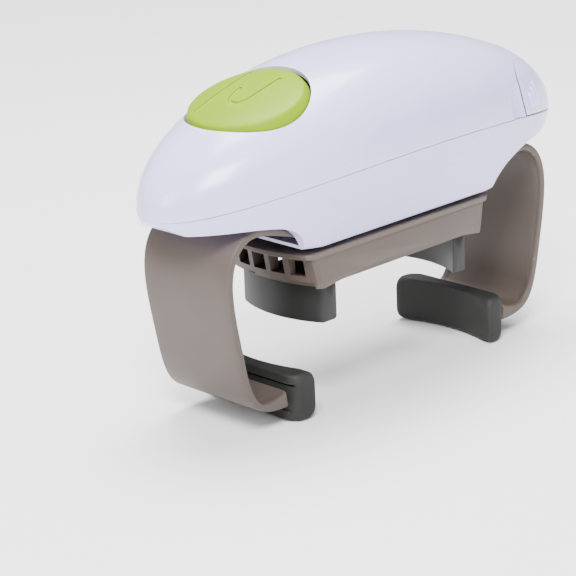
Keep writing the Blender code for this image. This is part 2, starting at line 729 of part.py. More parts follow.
def carriage():
    origin = (0, 0, 60)
    top = bowed(55.0, 25.3, 70.0)
    low = bowed(51.0, 26.0, 64.0)
    obj = place(section_loft([(BASE_TOP_Z + GAP, low), (60.0, bowed(52.6, 25.4, 67.0)),
                              (60.6, top), (CARRIAGE_TOP_Z, top)]),
                "carriage_body", "taupe_matte_plastic", origin)
    cut(obj, box(-47.0, 47.0, -22.6, 22.6, 45.0, 60.2))
    for y in (-17.4, -8.7, 0.0, 8.7, 17.4):
        cut(obj, box(-60.0, 60.0, y - 3.2, y + 3.2, 53.2, 59.8))
    for sign in (1, -1):
        arch = [(x, 58.4 - 0.0056 * x * x) for x in range(-36, 37, 4)] + [(36, 49.0), (-36, 49.0)]
        inner, outer = sorted((sign * 24.3, sign * 40.0))
        cut(obj, side_prism(arch, inner, outer))
    join(obj, rod(0, 0, 61.0, 80.6, 8.0, segments=32))
    cut(obj, rod(0, 0, 55.0, 85.0, 3.75, segments=20))
    cut(obj, prism([circle(11.5, 32), circle(7.2, 32)], 78.9, 79.9))
    ring = prism([circle(10.4, 28), circle(7.45, 28)], 79.05, 79.75)
    place(ring, "carriage_retaining_ring", "zinc_plated_steel", origin)
    base = place(prism([bowed(51.0, 26.2, 64.0)], CARRIAGE_BOTTOM_Z, BASE_TOP_Z), "carriage_base",
                 "taupe_matte_plastic", origin)
    cut(base, box(15.5, 60.0, -15.2, -6.6, 40.0, 60.0), box(-60.0, -15.5, 6.6, 15.2, 40.0, 60.0))
    cut(base, rod(0, 0, 40.0, 49.8, 11.3, segments=28))
    place(rod(0, 0, 48.2, 49.5, 11.0, segments=28), "lid_stop_pad", "grey_soft_rubber", origin)
    for name, x, y in (("carriage_screw_a", 20.0, 19.5), ("carriage_screw_b", -20.0, -19.5)):
        post = rod(x, y, 51.3, 61.0, 2.8, segments=14)
        join(obj, post)
        cut(obj, rod(x, y, 50.0, 58.2, 1.6, segments=12))
        cut(base, rod(x, y, 40.0, 60.0, 1.6, segments=12), rod(x, y, 40.0, 50.1, 2.9, segments=14))
        screw = place(rod(x, y, 48.6, 49.8, 2.6, segments=14), name, "zinc_plated_steel", (x, y, 50))
        join(screw, rod(x, y, 49.5, 57.8, 1.3, 1.1, segments=12))


def jaw_outline():
    """The plan of the lid jaw at +X, between two arcs about the turning axis."""
    points = []
    for radius, sign, steps in ((JAW_R, 1, 12), (JAW_OUTER_R, -1, 10)):
        reach = sign * math.asin(JAW_HALF_WIDTH / radius)
        for i in range(steps + 1):
            angle = reach - 2 * reach * i / steps
            points.append((radius * math.cos(angle), radius * math.sin(angle)))
    return points


def lid_jaws():
    """Each lid jaw hangs below the carriage from a rack bar that slides inside it."""
    pitch = JAW_TEETH / 2
    for side, sign in (("left", -1), ("right", 1)):
        origin = (sign * 42.0, 0, 50)
        jaw = place(mirrored(prism([jaw_outline()], JAW_BOTTOM_Z, JAW_TOP_Z), sign), side + "_lid_jaw",
                    "dark_grey_plastic", origin)
        bevel(jaw, 0.6)
        inner, outer = sorted((sign * -7.4, sign * -14.6))
        join(jaw, mirrored(box(38.8, 44.2, inner, outer, 46.0, 53.2), sign))
        bar = prism([rack_outline(-8.0, 45.5, 1.0, pitch, 11.2, 1.5 * math.pi)], 53.5, 57.5)
        if sign > 0:
            bar = mirrored(turned_about(bar), -1)
        else:
            bar = mirrored(bar, -1)
        place(bar, side + "_jaw_rack", "taupe_matte_plastic", origin)


# ---------------------------------------------------------------- wiring
def wiring():
    wire("red_motor_wire", [(22.4, 8.0, 106.0), (16.0, 9.0, 110.0), (4.0, 10.0, 114.0),
                            (-1.0, 7.5, 122.6), (-8.0, 4.0, 123.4), (-12.0, 2.0, 122.6)],
         0.6, "red_wire_sleeve")
    wire("black_switch_wire", [(22.4, -8.0, 106.0), (12.0, -16.0, 104.0), (-12.0, -20.0, 102.0),
                               (-28.0, -14.0, 106.5), (-38.0, -9.0, 106.0)],
         0.6, "dark_grey_plastic")


upper_housing()
battery_door()
lower_housing()
housing_screws()
push_button()
button_switch()
battery_bay()
gear_train()
gear_frames()
motor()
spindle()
arms()
arm_pinion()
carriage()
lid_jaws()
wiring()
for made in list(PARTS.objects) + list(CUTTERS.objects):
    made.location.x += AXIS_X * MM
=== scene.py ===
"""Looks for the jar opener: fine surfaces, procedural materials, studio light and camera.

Lengths are written in millimetres and turned into metres by MM.
"""
import json
import math

import bmesh
import bpy
from mathutils import Matrix, Vector


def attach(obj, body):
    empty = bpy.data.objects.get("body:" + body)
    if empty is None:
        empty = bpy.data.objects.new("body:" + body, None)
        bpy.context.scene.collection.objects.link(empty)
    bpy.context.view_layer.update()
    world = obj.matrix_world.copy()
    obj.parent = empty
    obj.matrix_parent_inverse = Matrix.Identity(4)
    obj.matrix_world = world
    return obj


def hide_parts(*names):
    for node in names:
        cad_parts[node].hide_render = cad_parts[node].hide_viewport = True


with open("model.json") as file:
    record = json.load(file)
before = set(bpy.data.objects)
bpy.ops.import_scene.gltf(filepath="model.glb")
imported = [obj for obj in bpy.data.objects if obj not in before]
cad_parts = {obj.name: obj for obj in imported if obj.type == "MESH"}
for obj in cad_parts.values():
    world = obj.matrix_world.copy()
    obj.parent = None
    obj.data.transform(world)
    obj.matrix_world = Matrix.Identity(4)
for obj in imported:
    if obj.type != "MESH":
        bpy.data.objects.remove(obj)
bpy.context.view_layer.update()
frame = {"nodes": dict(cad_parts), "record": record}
MM = 0.001

# The housing, arms, pads, jaws and carriage repeat the CAD's main sizes. The housing is 0.02 mm narrower on
# each side. Pieces are laid out about the turning axis, and piece() moves them by AXIS_X into the frame.
AXIS_X = -3.3
HALF_LENGTH, HALF_WIDTH = 106.9, 38.98
SEAM_END_Z, SEAM_ARCH, CROWN, POWER = 83.9, 11.3, 34.5, 2.3
SKIRT_Z, SKIRT_HALF, SKIRT_DEPTH = 64.1, 24.9, 34.0
WALL = 2.0
TIP_MARGIN = 0.003
BUTTON = Vector((-55.0, 0.0, 119.3))
BUTTON_TILT = math.radians(17.8)
BUTTON_A, BUTTON_B, BUTTON_SAG = 22.5, 24.2, 1.2
DOOR_X, DOOR_R = 37.7, 41.0
ARM_CURVE = [(47.4, 70.6), (69.5, 79.1), (82.0, 78.2), (91.5, 62.7), (85.1, 31.6), (81.1, 8.8),
             (68.4, 5.5), (48.6, 7.2)]
ARM_HALF, ARM_THICK = 22.65, 3.0
LIP_X, LIP_TOP, LIP_BOTTOM, LIP_START_X = 60.4, 13.6, 6.9, 76.0
PAD_HALF, PAD_R, PAD_FACE_X, PAD_BACK_X, PAD_TOP = 25.5, 62.0, 54.6, 60.1, 18.3
JAW_HALF, JAW_INNER_R, JAW_OUTER_R, JAW_LOW, JAW_HIGH = 21.5, 39.2, 45.5, 33.0, 48.1
WINDOW_HALF, WINDOW_STEP = 3.2, 8.7
CAMERA_AT = (-0.5898, -0.5638, 0.3063)


# ------------------------------------------------------------------ node material tools
class Nodes:
    def __init__(self, name):
        self.material = bpy.data.materials.new(name)
        self.material.use_nodes = True
        self.tree = self.material.node_tree
        self.shader = self.tree.nodes["Principled BSDF"]
        self.coords = self.tree.nodes.new("ShaderNodeTexCoord").outputs["Object"]

    def add(self, kind, **values):
        node = self.tree.nodes.new(kind)
        for key, value in values.items():
            setattr(node, key, value)
        return node

    def link(self, a, b):
        self.tree.links.new(a, b)

    def put(self, name, value):
        self.shader.inputs[name].default_value = value

    def noise(self, scale, detail=4.0, rough=0.55, stretch=None):
        node = self.add("ShaderNodeTexNoise")
        node.inputs["Scale"].default_value = scale
        node.inputs["Detail"].default_value = detail
        node.inputs["Roughness"].default_value = rough
        source = self.coords
        if stretch:
            mapping = self.add("ShaderNodeMapping")
            mapping.inputs["Scale"].default_value = stretch
            self.link(source, mapping.inputs["Vector"])
            source = mapping.outputs["Vector"]
        self.link(source, node.inputs["Vector"])
        return node.outputs["Fac"]

    def span(self, value, low, high, from_low=0.3, from_high=0.7):
        node = self.add("ShaderNodeMapRange")
        node.inputs["From Min"].default_value = from_low
        node.inputs["From Max"].default_value = from_high
        node.inputs["To Min"].default_value = low
        node.inputs["To Max"].default_value = high
        self.link(value, node.inputs["Value"])
        return node.outputs["Result"]

    def mix(self, factor, a, b):
        node = self.add("ShaderNodeMix", data_type="RGBA")
        self.link(factor, node.inputs["Factor"])
        for socket, colour in ((node.inputs[6], a), (node.inputs[7], b)):
            if isinstance(colour, tuple):
                socket.default_value = (*colour, 1.0)
            else:
                self.link(colour, socket)
        return node.outputs[2]

    def bump(self, height, strength, distance, below=None):
        node = self.add("ShaderNodeBump")
        node.inputs["Strength"].default_value = strength
        node.inputs["Distance"].default_value = distance
        self.link(height, node.inputs["Height"])
        if below is not None:
            self.link(below, node.inputs["Normal"])
        return node.outputs["Normal"]

    def edge_highlight_mask(self):
        """Near 1 along convex edges; this masks the painted edge highlight."""
        pointy = self.add("ShaderNodeNewGeometry").outputs["Pointiness"]
        return self.span(pointy, 0.0, 1.0, 0.52, 0.62)


def moulded(name, light, dark, rough, grain=3200.0, grain_depth=0.00002, edge_highlight=None, coat=0.0,
            subsurface=0.0, specular=0.5):
    """Plastic or rubber with tone changes, specks and a fine grain, and a painted highlight, a lighter
    colour along convex edges, if one is given.
    """
    n = Nodes(name)
    tone = n.mix(n.span(n.noise(14.0, 3.0), 0.0, 1.0), dark, light)
    speck = n.mix(n.span(n.noise(900.0, 2.0), 0.0, 0.10, 0.55, 0.75), tone, tuple(c * 0.8 for c in dark))
    colour = speck
    # Painted highlight: the given lighter colour is laid along convex edges.
    if edge_highlight:
        colour = n.mix(n.edge_highlight_mask(), speck, edge_highlight)
    n.link(colour, n.shader.inputs["Base Color"])
    smudge = n.noise(38.0, 6.0, 0.65)
    n.link(n.span(smudge, rough - 0.035, rough + 0.05), n.shader.inputs["Roughness"])
    wave = n.bump(n.noise(55.0, 2.0), 0.10, 0.0004)
    n.link(n.bump(n.noise(grain, 3.0), 0.35, grain_depth, wave), n.shader.inputs["Normal"])
    n.put("Coat Weight", coat)
    n.put("Coat Roughness", 0.12)
    n.put("Subsurface Weight", subsurface)
    n.put("Subsurface Scale", 0.002)
    n.put("Specular IOR Level", specular)
    return n.material


def metal(name, colour, rough, stretch=(1.0, 1.0, 40.0)):
    n = Nodes(name)
    lines = n.noise(260.0, 6.0, 0.6, stretch)
    tone = n.mix(n.span(lines, 0.0, 1.0), tuple(c * 0.82 for c in colour), colour)
    n.link(tone, n.shader.inputs["Base Color"])
    n.link(n.span(n.noise(60.0, 4.0), rough - 0.06, rough + 0.10), n.shader.inputs["Roughness"])
    n.link(n.bump(lines, 0.12, 0.00003), n.shader.inputs["Normal"])
    n.put("Metallic", 1.0)
    return n.material


# The lighter third colour of each plastic and rubber below is a painted highlight along convex edges.
WHITE = moulded("white_gloss_plastic_fine", (0.60, 0.60, 0.93), (0.55, 0.55, 0.88), 0.24, 5200.0,
                0.000006, (0.68, 0.68, 0.95), coat=0.25, subsurface=0.04)
LIME = moulded("lime_gloss_plastic_fine", (0.20, 0.33, 0.0), (0.17, 0.29, 0.0), 0.36, 4200.0,
               0.00001, (0.25, 0.39, 0.0), specular=0.12)
TAUPE = moulded("taupe_matte_plastic_fine", (0.086, 0.065, 0.054), (0.073, 0.055, 0.046), 0.46, 2600.0,
                0.00003, (0.125, 0.10, 0.085), specular=0.35)
RUBBER = moulded("grey_soft_rubber_fine", (0.024, 0.024, 0.0225), (0.018, 0.018, 0.017), 0.62, 1800.0,
                 0.00004, (0.05, 0.05, 0.047), specular=0.25)
DARK = moulded("dark_grey_plastic_fine", (0.024, 0.024, 0.023), (0.018, 0.018, 0.0175), 0.46, 2400.0,
               0.00003, (0.05, 0.05, 0.048), specular=0.25)
GEAR = moulded("white_gear_plastic_fine", (0.72, 0.70, 0.64), (0.66, 0.64, 0.58), 0.40, 3000.0,
               0.00001, subsurface=0.1)
RED = moulded("red_wire_sleeve_fine", (0.45, 0.03, 0.02), (0.36, 0.02, 0.015), 0.45)
BOARD = moulded("green_laminate_fine", (0.03, 0.20, 0.07), (0.02, 0.14, 0.05), 0.42)
WRAP = moulded("cell_wrap_fine", (0.07, 0.09, 0.15), (0.05, 0.07, 0.12), 0.30, coat=0.3)
STEEL = metal("zinc_plated_steel_fine", (0.62, 0.62, 0.64), 0.30)
# Painted shade: a near-black colour for the strip behind the shells' gap, standing for the shade in it.
SEAM_SHADE = moulded("painted_seam_shade", (0.018, 0.018, 0.022), (0.012, 0.012, 0.015), 0.7)
BY_SLOT = {"white_gloss_plastic": WHITE, "lime_gloss_plastic": LIME, "taupe_matte_plastic": TAUPE,
           "grey_soft_rubber": RUBBER, "dark_grey_plastic": DARK, "white_gear_plastic": GEAR,
           "red_wire_sleeve": RED, "green_laminate": BOARD, "cell_wrap": WRAP,
           "zinc_plated_steel": STEEL}


# ------------------------------------------------------------------ mesh tools
def mesh_from(bm, name):
    bmesh.ops.recalc_face_normals(bm, faces=bm.faces)
    if bm.calc_volume(signed=True) < 0.0:
        bmesh.ops.reverse_faces(bm, faces=bm.faces)
    mesh = bpy.data.meshes.new(name)
    bm.to_mesh(mesh)
    bm.free()
    return mesh


def piece(mesh, name, slot, body, nodes=(), sharp=32.0, levels=0):
    """Adds a visible piece that rides on a body and stands for the named CAD nodes."""
    obj = bpy.data.objects.new(name, mesh)
    bpy.context.scene.collection.objects.link(obj)
    mesh.transform(Matrix.Translation((AXIS_X * MM, 0, 0)))
    mesh.materials.clear()
    mesh.materials.append(BY_SLOT[slot])
    mesh.shade_smooth()
    mesh.set_sharp_from_angle(angle=math.radians(sharp))
    if levels:
        subdivide(obj, levels)
    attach(obj, body)
    if nodes:
        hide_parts(*nodes)
    return obj


def subdivide(obj, levels):
    modifier = obj.modifiers.new("fine", "SUBSURF")
    modifier.levels = levels
    modifier.render_levels = levels
    modifier.boundary_smooth = "PRESERVE_CORNERS"


def loft(rings, caps=True, flat=False):
    """Equal closed rings of points, in mm, joined into a solid. Without caps its ends stay open."""
    bm = bmesh.new()
    grid = [[bm.verts.new(Vector(p) * MM) for p in ring] for ring in rings]
    count = len(grid[0])
    for a, b in zip(grid[:-1], grid[1:]):
        for j in range(count):
            k = (j + 1) % count
            bm.faces.new((a[j], a[k], b[k], b[j]))
    if flat:
        bm.faces.new(grid[0])
        bm.faces.new(grid[-1])
    elif caps:
        for ring in (grid[0], grid[-1]):
            centre = sum((v.co for v in ring), Vector()) / count
            middle = bm.verts.new(centre)
            for j in range(count):
                bm.faces.new((ring[j], ring[(j + 1) % count], middle))
    bmesh.ops.remove_doubles(bm, verts=bm.verts, dist=0.000001)
    return mesh_from(bm, "loft")


def extrude(loop, low, high, axis="Z"):
    """A flat outline in mm as a solid, along Z or (for an XZ outline) along Y."""
    bm = bmesh.new()
    rings = []
    for level in (low, high):
        if axis == "Z":
            rings.append([bm.verts.new(Vector((x, y, level)) * MM) for x, y in loop])
        else:
            rings.append([bm.verts.new(Vector((x, level, y)) * MM) for x, y in loop])
    bm.faces.new(rings[0])
    bm.faces.new(rings[1])
    for j in range(len(loop)):
        k = (j + 1) % len(loop)
        bm.faces.new((rings[0][j], rings[0][k], rings[1][k], rings[1][j]))
    return mesh_from(bm, "extrusion")


def block(x0, x1, y0, y1, z0, z1):
    return extrude([(x0, y0), (x1, y0), (x1, y1), (x0, y1)], z0, z1)


def rod(x, y, radius, z0, z1, count=56):
    turns = [2 * math.pi * i / count for i in range(count)]
    return extrude([(x + radius * math.cos(a), y + radius * math.sin(a)) for a in turns], z0, z1)


def carve(mesh, *cutters, join=False):
    """Cuts meshes out of a mesh (or joins them to it) and returns the result."""
    scene = bpy.context.scene
    base = bpy.data.objects.new("carve_base", mesh)
    scene.collection.objects.link(base)
    helpers = []
    for cutter in cutters:
        helper = bpy.data.objects.new("carve_tool", cutter)
        scene.collection.objects.link(helper)
        helpers.append(helper)
        modifier = base.modifiers.new("carve", "BOOLEAN")
        modifier.operation = "UNION" if join else "DIFFERENCE"
        modifier.solver = "EXACT"
        modifier.object = helper
    result = bpy.data.meshes.new_from_object(base.evaluated_get(bpy.context.evaluated_depsgraph_get()))
    for obj in [base] + helpers:
        bpy.data.objects.remove(obj, do_unlink=True)
    return result


def flipped(mesh, sign):
    """The mesh, or its mirror image across the YZ plane."""
    if sign > 0:
        return mesh
    bm = bmesh.new()
    bm.from_mesh(mesh)
    bmesh.ops.scale(bm, vec=(-1, 1, 1), verts=bm.verts)
    bmesh.ops.reverse_faces(bm, faces=bm.faces)
    return mesh_from(bm, mesh.name)


def fillet_box(x0, x1, z0, z1, radius, steps=5):
    """A rounded rectangle in XZ."""
    points = []
    for cx, cz, start in ((x1 - radius, z1 - radius, 0), (x0 + radius, z1 - radius, 90),
                          (x0 + radius, z0 + radius, 180), (x1 - radius, z0 + radius, 270)):
        for i in range(steps + 1):
            angle = math.radians(start + 90.0 * i / steps)
            points.append((cx + radius * math.cos(angle), cz + radius * math.sin(angle)))
    return points


def bspline(control, count):
    degree = 3
    n = len(control)
    inner = n - degree
    knots = [0.0] * degree + [i / inner for i in range(inner + 1)] + [1.0] * degree
    points = []
    for s in range(count + 1):
        u = min(s / count, 1.0 - 1e-9)
        k = max(i for i in range(degree, n) if knots[i] <= u)
        d = [Vector(control[j + k - degree]) for j in range(degree + 1)]
        for r in range(1, degree + 1):
            for j in range(degree, r - 1, -1):
                low, high = knots[j + k - degree], knots[j + 1 + k - r]
                d[j] = d[j - 1].lerp(d[j], (u - low) / (high - low))
        points.append(d[degree].copy())
    return points


# ------------------------------------------------------------------ housing
def station(angle):
    """A cross-section's x, half width, seam height, crown, depth below the seam, and share of full width."""
    along, across = -math.cos(angle), max(math.sin(angle), 0.0)
    width = HALF_WIDTH * across * (1 - 0.10 * along)
    seam = SEAM_END_Z + SEAM_ARCH * across ** 2
    crown = CROWN * across ** 0.93 * (1 + 0.025 * along)
    return HALF_LENGTH * along - AXIS_X, width, seam, crown, SKIRT_DEPTH * across ** 1.55, across


def station_angle(i, count):
    return math.pi * (TIP_MARGIN + (1 - 2 * TIP_MARGIN) * i / count)


def station_at(x):
    return station(math.acos(max(-1.0, min(1.0, -(x + AXIS_X) / HALF_LENGTH))))


def side_y(x, z):
    """Half width of the upper housing at a point on its side."""
    _, width, seam, crown, _, _ = station_at(x)
    up = max(0.0, min(0.999, (z - seam) / crown))
    return width * (1 - up ** POWER) ** (1 / POWER)


def upper_shell(lift, stations=120, around=46):
    """The domed wall, with a thumb dent in each side of the door."""
    rings = []
    for i in range(stations + 1):
        angle = station_angle(i, stations)
        x, width, seam, crown, _, across = station(angle)
        inner = WALL * min(1.0, 3.0 * across)
        edge = 0.14 * min(1.0, width / 4.0)
        outer_row, inner_row = [], []
        for j in range(around + 1):
            turn = math.pi * j / around
            c, s = math.cos(turn), math.sin(turn)
            cy = -math.copysign(abs(c) ** (2 / POWER), c)
            sz = abs(s) ** (2 / POWER)
            y, z = width * cy, seam + crown * sz
            dent = 0.0
            for side in (-1, 1):
                gap = Vector(((x - 63.0) / 6.5, (y - side * 29.5) / 9.0, (z - 97.5) / 8.0)).length
                dent += 2.1 * max(0.0, 1.0 - gap ** 4) ** 2
            y -= math.copysign(dent, y) if dent else 0.0
            if j in (0, around):
                y -= math.copysign(edge, y)
            outer_row.append((x, y, z + lift))
            inner_row.append((x + (AXIS_X - x) * inner / 140.0, max(width - inner, 0.02) * cy,
                              seam + lift + max(crown - inner, 0.02) * sz))
        step = min(0.3, 0.3 * crown)
        outer_row[1:1] = [(x, outer_row[0][1] - edge, seam + lift + step)]
        outer_row[-1:-1] = [(x, outer_row[-1][1] + edge, seam + lift + step)]
        rings.append(outer_row + list(reversed(inner_row)))
    return loft(rings)


def button_matrix():
    return Matrix.Translation(BUTTON * MM) @ Matrix.Rotation(-BUTTON_TILT, 4, "Y")


def oval(grow, count=96):
    return [((BUTTON_A + grow) * math.cos(2 * math.pi * i / count),
             (BUTTON_B + grow) * math.sin(2 * math.pi * i / count)) for i in range(count)]


def door_cutter(grow, keep_door):
    """The space beyond the door's seam, or behind it, with a seam that swings along x as it goes down."""
    rings = []
    radius = DOOR_R + grow
    end = -130.0 if keep_door else 130.0
    for z, swing in ((60, 3.6), (86, 3.4), (91, 2.6), (97, 0.6), (103, -1.3), (106.5, -2.7), (109, -2.9),
                     (111.5, -1.8), (114, -0.4), (117, 0.0), (140, 0.0)):
        ring = [(DOOR_X + swing + radius * math.cos(math.radians(a)), radius * math.sin(math.radians(a)), z)
                for a in range(-80, 81, 2)]
        ring += [(ring[-1][0], 60.0, z), (end, 60.0, z), (end, -60.0, z), (ring[0][0], -60.0, z)]
        rings.append(ring)
    return loft(rings, flat=True)


def make_upper():
    hole = extrude(oval(0.55), -25.0, 25.0)
    hole.transform(button_matrix())
    mesh = carve(upper_shell(-0.03), hole, door_cutter(-0.2, False))
    piece(mesh, "upper_housing_shell", "white_gloss_plastic", "housing", ("upper_housing",))


def make_door():
    mesh = carve(upper_shell(0.3), door_cutter(0.25, True))
    piece(mesh, "battery_door_cap", "white_gloss_plastic", "door", ("battery_door",))
    for side in (-1, 1):
        for k in range(3):
            rings = []
            x_low = 75.0 + 2.9 * k
            top = 99.5 + 1.6 * k
            low = station_at(x_low)[2] + 2.6
            for i in range(17):
                t = i / 16
                z = low + (top - low) * t
                x = x_low - 1.6 * t
                radius = 1.25 * math.sqrt(max(0.0, 1.0 - (2 * t - 1) ** 8)) + 0.02
                y = side * (side_y(x, z) - 0.05)
                rings.append([(x + 0.85 * radius * math.cos(a), y + side * radius * math.sin(a), z)
                              for a in (math.pi * 2 * j / 12 for j in range(12))])
            piece(loft(rings), "door_grip_rib_%s%d" % ("n" if side < 0 else "f", k),
                  "white_gloss_plastic", "door")


def lower_ring(angle, inset):
    x, full, seam, _, depth, across = station(angle)
    x = (x + AXIS_X) * (1 - inset / HALF_LENGTH) - AXIS_X
    bottom = max(SKIRT_Z, seam - depth) + inset * min(1.0, 0.4 * depth / max(inset, 1.0))
    width = max(full - inset * min(1.0, 2.0 * across), 0.02)
    foot = max(min(SKIRT_HALF, 0.82 * full) - inset, 0.01)
    height = seam - bottom
    small = min(1.0, width / 4.0)
    if inset:
        left = [(x, width, seam + 6.0 * min(1.0, 3.0 * across))]
    else:
        top = seam - min(0.33, 0.1 * height)
        left = [(x, width - 0.16 * small, top), (x, width, top - min(0.3, 0.1 * height))]
    for v in [j / 25 for j in range(1, 25)] + [0.972, 0.983, 0.992, 0.998, 1.0]:
        tuck = 0.04 * height * (1 - math.sqrt(max(0.0, 1 - max(0.0, (v - 0.96) / 0.04) ** 2)))
        left.append((x, max(width + (foot - width) * v ** 1.3 - tuck, 0.005), seam - height * v))
    return left + [(px, -py, pz) for px, py, pz in reversed(left)]


def lower_solid(inset, stations=120):
    return loft([lower_ring(station_angle(i, stations), inset) for i in range(stations + 1)])


def under_arch(sign, inset=0.0):
    control = [(52.0, 50.0), (52.0, 58.0), (52.1, 63.0), (52.9, 66.5), (55.0, 70.8), (59.5, 74.9),
               (65.8, 77.6), (74.0, 78.8), (84.0, 79.1), (98.0, 79.1), (118.0, 79.1)]
    curve = [(p.x - (inset if p.x < 70 else 0.0), p.y + (inset if p.y > 60 else 0.0))
             for p in bspline(control, 60)]
    return flipped(extrude(curve + [(118.0, 50.0)], -60.0, 60.0, "Y"), sign)


def make_lower():
    outer = carve(lower_solid(0.0), under_arch(1), under_arch(-1))
    hollow = carve(lower_solid(WALL), under_arch(1, WALL), under_arch(-1, WALL))
    slot_half = 23.05
    slots = [block(*ends, -slot_half, slot_half, 67.0, 77.9) for ends in ((49.4, 82.0), (-82.0, -49.4))]
    mesh = carve(outer, hollow, *slots)
    mesh = carve(mesh, rod(0, 0, 8.3, 60.0, 70.0, 48))
    piece(mesh, "lower_housing_shell", "white_gloss_plastic", "housing", ("lower_housing",))


def make_seam_lip():
    """A strip behind the gap between the two shells, near black as painted shade for the gap."""
    rings = []
    count = 150
    for i in range(count):
        angle = 2 * math.pi * i / count
        half = angle if angle <= math.pi else 2 * math.pi - angle
        side = 1 if angle <= math.pi else -1
        x, width, seam, _, _, _ = station(half)
        x += (-AXIS_X - x) * 1.6 / HALF_LENGTH
        y = side * max(width - 1.5, 0.0)
        out = Vector((x / 50.0, y / 14.0, 0)).normalized()
        rings.append([(x + out.x * dx, y + out.y * dx, seam + dz) for dx, dz in
                      ((0.2, -1.6), (0.2, 1.2), (-0.5, 1.2), (-0.5, -1.6))])
    rings.append(rings[0])
    tongue = piece(loft(rings, caps=False), "seam_tongue", "dark_grey_plastic", "housing")
    # The strip takes the painted seam shade, not its slot's colour.
    tongue.data.materials[0] = SEAM_SHADE


# ------------------------------------------------------------------ button
def make_button():
    """A cup with a bevelled rim and a stem. Each row is a share of the outline, and a height."""
    rows = [(1.0, -8.0), (1.0, -3.3), (0.996, -2.9), (0.986, -2.3), (0.965, -1.35), (0.946, -0.6),
            (0.935, -0.28), (0.92, -0.04), (0.90, 0.12), (0.87, 0.25), (0.80, 0.45), (0.65, 0.74),
            (0.45, 0.97), (0.22, 1.09), (0.05, 1.12)]
    rings = []
    for k, z in rows:
        sag = 0.0 if z == rows[0][1] else BUTTON_SAG
        rings.append([(x * k, y * k, z - sag * (y * k / BUTTON_B) ** 2) for x, y in oval(0.0, 120)])
    shell = carve(loft(rings), extrude(oval(-2.0, 80), -10.0, -2.6))
    shell = carve(shell, rod(0, 0, 3.0, -10.5, -2.0, 32), join=True)
    grooves = [groove([(-15.2, 11.8), (-6.0, 12.2), (6.0, 12.2), (15.0, 11.6)]),
               groove([(14.5, -4.8), (4.0, -4.6), (-4.5, -4.2), (-7.4, 0.4), (-3.6, 5.2), (4.0, 5.6)])]
    shell = carve(shell, *grooves)
    shell.transform(button_matrix())
    piece(shell, "press_button_cap", "lime_gloss_plastic", "button", ("push_button",), sharp=28.0)


def button_top(x, y):
    r = math.hypot(x / BUTTON_A, y / BUTTON_B)
    return 1.12 - 1.02 * r ** 2.0 - BUTTON_SAG * (y / BUTTON_B) ** 2


def groove(points, depth=0.6, half=0.75):
    """A narrow rounded trench along points on the button's top."""
    path = bspline(points, 40)
    rings = []
    for i, p in enumerate(path):
        a, b = path[max(i - 1, 0)], path[min(i + 1, len(path) - 1)]
        along = (b - a).normalized()
        side = Vector((-along.y, along.x))
        base = button_top(p.x, p.y)
        rings.append([(p.x + side.x * half * math.cos(t), p.y + side.y * half * math.cos(t),
                       base + (depth if math.sin(t) < 0 else 1.2) * math.sin(t))
                      for t in (2 * math.pi * j / 14 for j in range(14))])
    return loft(rings)


# ------------------------------------------------------------------ arms and pads
def make_arm(side, sign):
    """The C shaped band: an even outer face, raised rims along both edges, and a thick lip."""
    path = [p for p in bspline(ARM_CURVE, 150) if p.x > LIP_X + 0.6 or p.y > 40.0]
    path.append(Vector((LIP_X + 0.02, LIP_BOTTOM)))
    rings = []
    for i, p in enumerate(path):
        a, b = path[max(i - 1, 0)], path[min(i + 1, len(path) - 1)]
        along = (b - a).normalized()
        inward = Vector((along.y, -along.x))
        thick = ARM_THICK
        blend = 0.0
        if p.y < 20.0:
            blend = min(max((LIP_START_X - p.x) / (LIP_START_X - LIP_X), 0.0), 1.0)
            thick = ARM_THICK + (LIP_TOP - LIP_BOTTOM - ARM_THICK) * blend ** 1.3
        dish = 0.95 * (1.0 - blend) * min(1.0, i / 14.0)
        edge = ARM_HALF
        section = [(edge - 1.1, 0.0), (edge - 0.45, 0.12), (edge - 0.1, 0.5), (edge, 1.0),
                   (edge, thick - 1.0), (edge - 0.12, thick - 0.45), (edge - 0.5, thick - 0.1),
                   (edge - 1.0, thick), (edge - 1.7, thick - 0.02), (edge - 2.3, thick - 0.3 * dish),
                   (edge - 3.0, thick - 0.72 * dish), (edge - 4.0, thick - dish), (edge - 8.0, thick - dish),
                   (edge - 16.0, thick - dish)]
        full = section + [(-y, t) for y, t in reversed(section)]
        full += [(-8.0, 0.0), (8.0, 0.0)]
        rings.append([(p.x + inward.x * t, y, p.y + inward.y * t) for y, t in full])
    band = loft(rings)
    piece(flipped(band, sign), side + "_arm_band", "taupe_matte_plastic", side + "_arm_group",
          (side + "_arm",), sharp=50.0, levels=1)


def make_pad(side, sign):
    """The rubber jar pad: concave to the jar, rounded at its ends, with a groove above the lip."""
    half = PAD_HALF
    rings = []
    spots = [(-half, 2.6), (-half + 0.15, 1.6), (-half + 0.55, 0.75), (-half + 1.2, 0.2)]
    spots += [(-half + 2.4 + (2 * half - 4.8) * i / 44, 0.0) for i in range(45)]
    spots += [(-y, s) for y, s in reversed(spots[:4])]
    for y, shrink in spots:
        inner = PAD_FACE_X - PAD_R + math.sqrt(PAD_R ** 2 - y * y) + shrink * 0.6
        taper = max(0.0, abs(y) - (half - 6.0)) / 6.0
        outer = PAD_BACK_X - 2.4 * taper ** 2 - shrink * 0.6
        radius = min(0.9 + 2.8 * taper, (outer - inner) / 2.05)
        rings.append([(x, y, z) for x, z in fillet_box(inner, outer, shrink, PAD_TOP - shrink, radius)])
    body = carve(loft(rings), block(58.2, 66.0, -23.6, 23.6, 13.9, 14.7))
    body = carve(body, block(59.5, 66.0, -22.9, 22.9, 4.0, 13.95))
    piece(flipped(body, sign), side + "_jar_pad_rubber", "grey_soft_rubber", side + "_arm_group",
          (side + "_jar_pad",), sharp=40.0)


